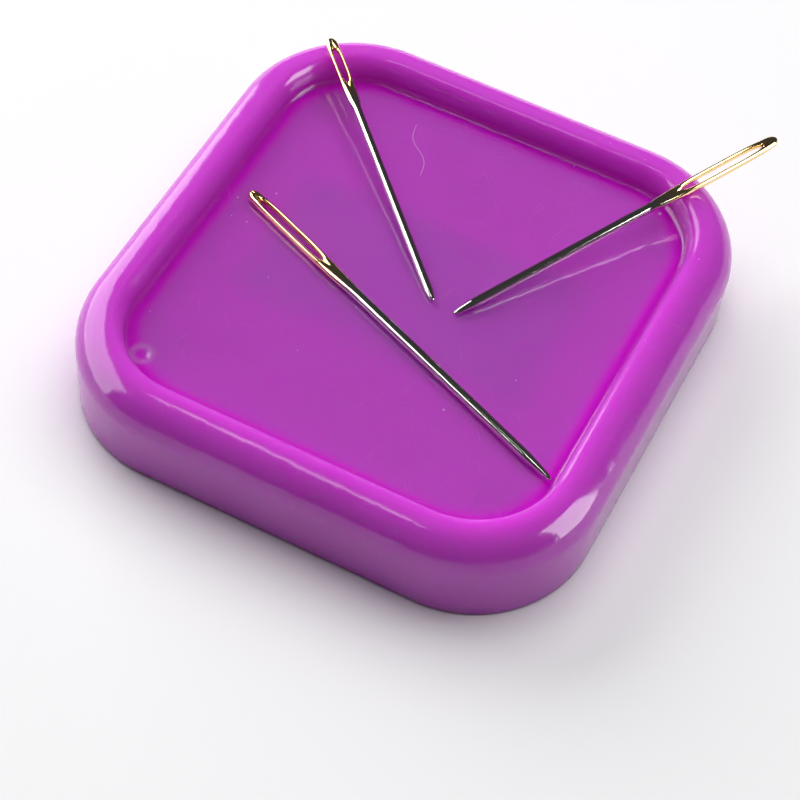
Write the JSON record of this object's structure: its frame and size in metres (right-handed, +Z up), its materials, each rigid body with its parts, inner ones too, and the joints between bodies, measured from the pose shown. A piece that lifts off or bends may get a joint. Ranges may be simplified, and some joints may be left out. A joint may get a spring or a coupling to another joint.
{
  "type": "magnetic pin dish",
  "caption": "Shallow square dish with round corners and a magnet sealed under its floor, which holds sewing pins and needles; blunt tapestry needles lie in it and lift off.",
  "frame": {"origin": "middle of the dish's outline, on the underside of its non-slip pad", "axes": "+Z up; +X along the dish's shorter side, +Y along its longer side, towards the overhanging needle"},
  "size_m": [0.08, 0.0893, 0.018],
  "materials": {
    "tray_plastic": "glossy, slightly translucent moulded magenta-purple plastic with fine scratches",
    "cover_plastic": "fine matt moulded plastic, same colour as the tray",
    "pad_rubber": "matt non-slip foam rubber sheet",
    "magnet_ferrite": "dark grey sintered ferrite, ground on its broad faces",
    "foam_strip": "white closed-cell foam",
    "needle_plating": "bright nickel-plated steel, gold-plated over the eye and flute"
  },
  "bodies": {
    "dish": {"tray": "tray_plastic", "base_cover": "cover_plastic", "base_pad": "pad_rubber", "magnet": "magnet_ferrite", "magnet_foam": "foam_strip"},
    "needle_front": {"needle_front": "needle_plating"},
    "needle_left": {"needle_left": "needle_plating"},
    "needle_right": {"needle_right": "needle_plating"}
  },
  "joints": [
    {"name": "needle_front_lift", "type": "slide", "parent": "dish", "child": "needle_front", "axis": [0, 0, 1], "range_m": [0, 0.04]},
    {"name": "needle_left_lift", "type": "slide", "parent": "dish", "child": "needle_left", "axis": [0, 0, 1], "range_m": [0, 0.04]},
    {"name": "needle_right_lift", "type": "slide", "parent": "dish", "child": "needle_right", "axis": [0, 0, 1], "range_m": [0, 0.04]}
  ]
}
